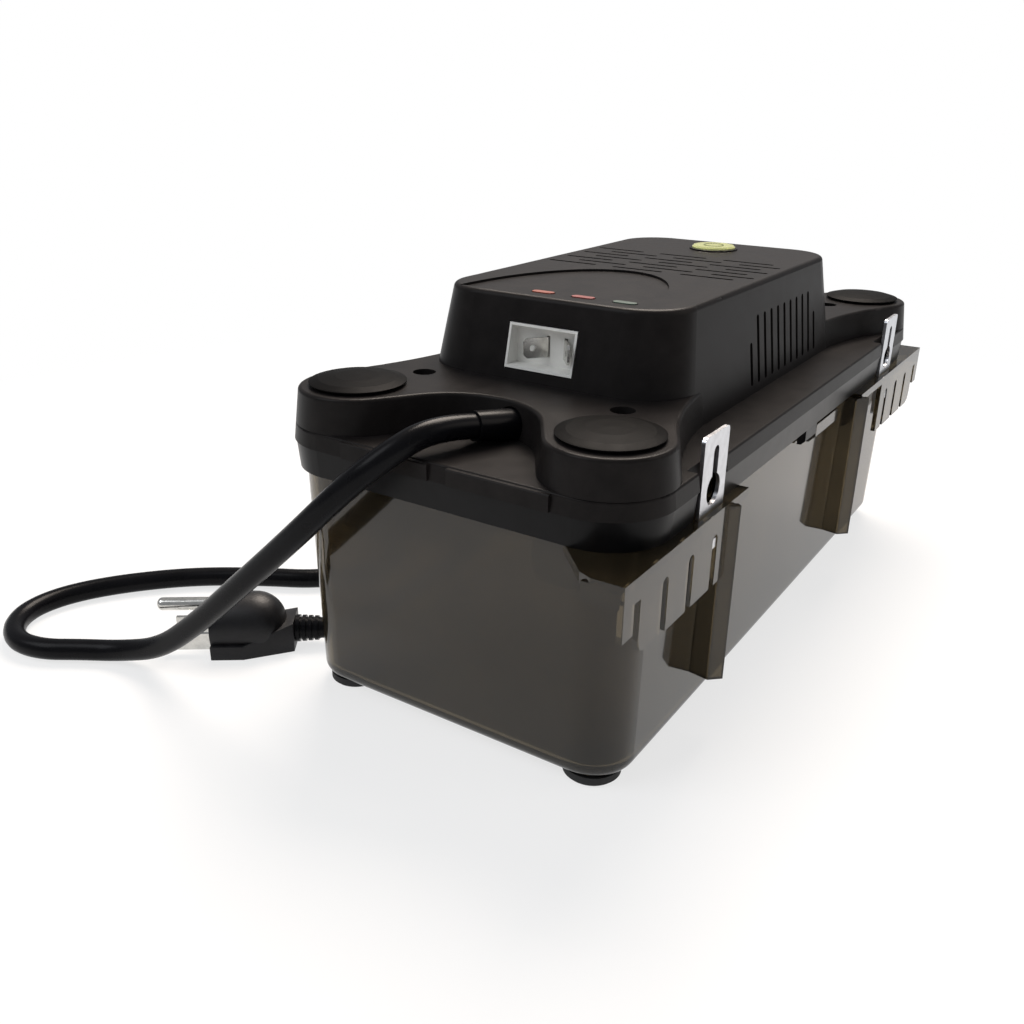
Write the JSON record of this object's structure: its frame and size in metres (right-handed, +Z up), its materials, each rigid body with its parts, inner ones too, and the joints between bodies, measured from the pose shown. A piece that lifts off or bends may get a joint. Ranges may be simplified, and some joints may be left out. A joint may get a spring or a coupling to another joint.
{
  "type": "condensate pump",
  "caption": "Tank-type condensate pump with a vented motor hood, capped inlets, keyhole wall hangers, float switch, alarm terminals and a corded plug.",
  "frame": {"origin": "middle of the tank's footprint, on the surface that the rubber feet stand on", "axes": "+Z up; X along the tank, the cord end at -X; the wall hangers face -Y"},
  "size_m": [0.3381, 0.2512, 0.1323],
  "materials": {
    "tank_plastic": "smoky translucent moulding",
    "foot_rubber": "matt",
    "black_plastic": "satin black",
    "zinc_steel": "zinc plated",
    "white_plastic": "off white",
    "tinned_steel": "tinned",
    "amber_lens": "clear tinted",
    "red_lens": "clear tinted",
    "green_lens": "clear tinted",
    "level_liquid": "clear tinted",
    "bubble": "clear",
    "motor_iron": "laminated steel",
    "winding_tape": "wrapped coil",
    "bridge_alloy": "die cast",
    "float_foam": "closed-cell foam",
    "switch_plastic": "matt",
    "acetal": "natural",
    "board_laminate": "coated",
    "cord_vinyl": "satin vinyl"
  },
  "bodies": {
    "housing": {"tank": "tank_plastic", "rubber_feet": "foot_rubber", "lid_band": "black_plastic", "lid": "black_plastic", "motor_cover": "black_plastic", "terminal_block": "white_plastic", "spade_terminals": "tinned_steel", "amber_light": "amber_lens", "red_light": "red_lens", "green_light": "green_lens", "level_vial": "level_liquid", "level_bubble": "bubble", "motor_stack": "motor_iron", "motor_winding": "winding_tape", "upper_bearing_bridge": "bridge_alloy", "lower_bearing_bridge": "bridge_alloy", "pump_housing": "black_plastic", "intake_strainer": "black_plastic", "discharge_pipe": "black_plastic", "check_valve": "black_plastic", "float_bracket": "black_plastic", "float_pin": "zinc_steel", "float_switch": "switch_plastic", "leaf_pin": "zinc_steel", "circuit_board": "board_laminate", "cover_screws": "zinc_steel", "motor_screws": "zinc_steel", "cord_gland": "cord_vinyl", "power_cord": "cord_vinyl", "cord_coil": "cord_vinyl", "plug_lead": "cord_vinyl", "plug_body": "cord_vinyl", "plug_blades": "tinned_steel", "plug_ground_pin": "tinned_steel", "plug_strain_relief": "cord_vinyl"},
    "cap_1": {"inlet_cap_1": "black_plastic"},
    "cap_2": {"inlet_cap_2": "black_plastic"},
    "cap_3": {"inlet_cap_3": "black_plastic"},
    "cap_4": {"inlet_cap_4": "black_plastic"},
    "hanger_near": {"hanger_plate_near": "zinc_steel"},
    "hanger_far": {"hanger_plate_far": "zinc_steel"},
    "rotor": {"rotor_shaft": "motor_iron", "cooling_fan": "black_plastic", "impeller": "black_plastic"},
    "float": {"float_arm": "zinc_steel", "float_body": "float_foam"},
    "pushrod": {"switch_pushrod": "acetal"},
    "leaf": {"switch_leaf": "zinc_steel"},
    "check_ball": {"valve_ball": "acetal"}
  },
  "joints": [
    {"name": "cap_1_pull", "type": "slide", "parent": "housing", "child": "cap_1", "axis": [0, 0, 1], "range_m": [0, 0.012]},
    {"name": "cap_2_pull", "type": "slide", "parent": "housing", "child": "cap_2", "axis": [0, 0, 1], "range_m": [0, 0.012]},
    {"name": "cap_3_pull", "type": "slide", "parent": "housing", "child": "cap_3", "axis": [0, 0, 1], "range_m": [0, 0.012]},
    {"name": "cap_4_pull", "type": "slide", "parent": "housing", "child": "cap_4", "axis": [0, 0, 1], "range_m": [0, 0.012]},
    {"name": "hanger_near_slide", "type": "slide", "parent": "housing", "child": "hanger_near", "axis": [0, 0, 1], "range_m": [-0.014, 0]},
    {"name": "hanger_far_slide", "type": "slide", "parent": "housing", "child": "hanger_far", "axis": [0, 0, 1], "range_m": [-0.014, 0]},
    {"name": "rotor_spin", "type": "hinge", "parent": "housing", "child": "rotor", "pos_m": [0.012, 0, 0.1], "axis": [0, 0, 1], "continuous": true},
    {"name": "float_swing", "type": "hinge", "parent": "housing", "child": "float", "pos_m": [-0.032, -0.016, 0.076], "axis": [0, 1, 0], "range_deg": [0, 24]},
    {"name": "pushrod_lift", "type": "slide", "parent": "housing", "child": "pushrod", "axis": [0, 0, 1], "range_m": [0, 0.00334]},
    {"name": "leaf_lift", "type": "hinge", "parent": "housing", "child": "leaf", "pos_m": [-0.02782, -0.016, 0.0986], "axis": [0, 1, 0], "range_deg": [0, 15.54]},
    {"name": "ball_lift", "type": "slide", "parent": "housing", "child": "check_ball", "axis": [1, 0, 0], "range_m": [0, 0.002]}
  ],
  "couplings": [
    {"joint": "pushrod_lift", "follows": "float_swing", "m_per_rad": 0.0079416},
    {"joint": "leaf_lift", "follows": "float_swing", "ratio": 0.64559}
  ]
}
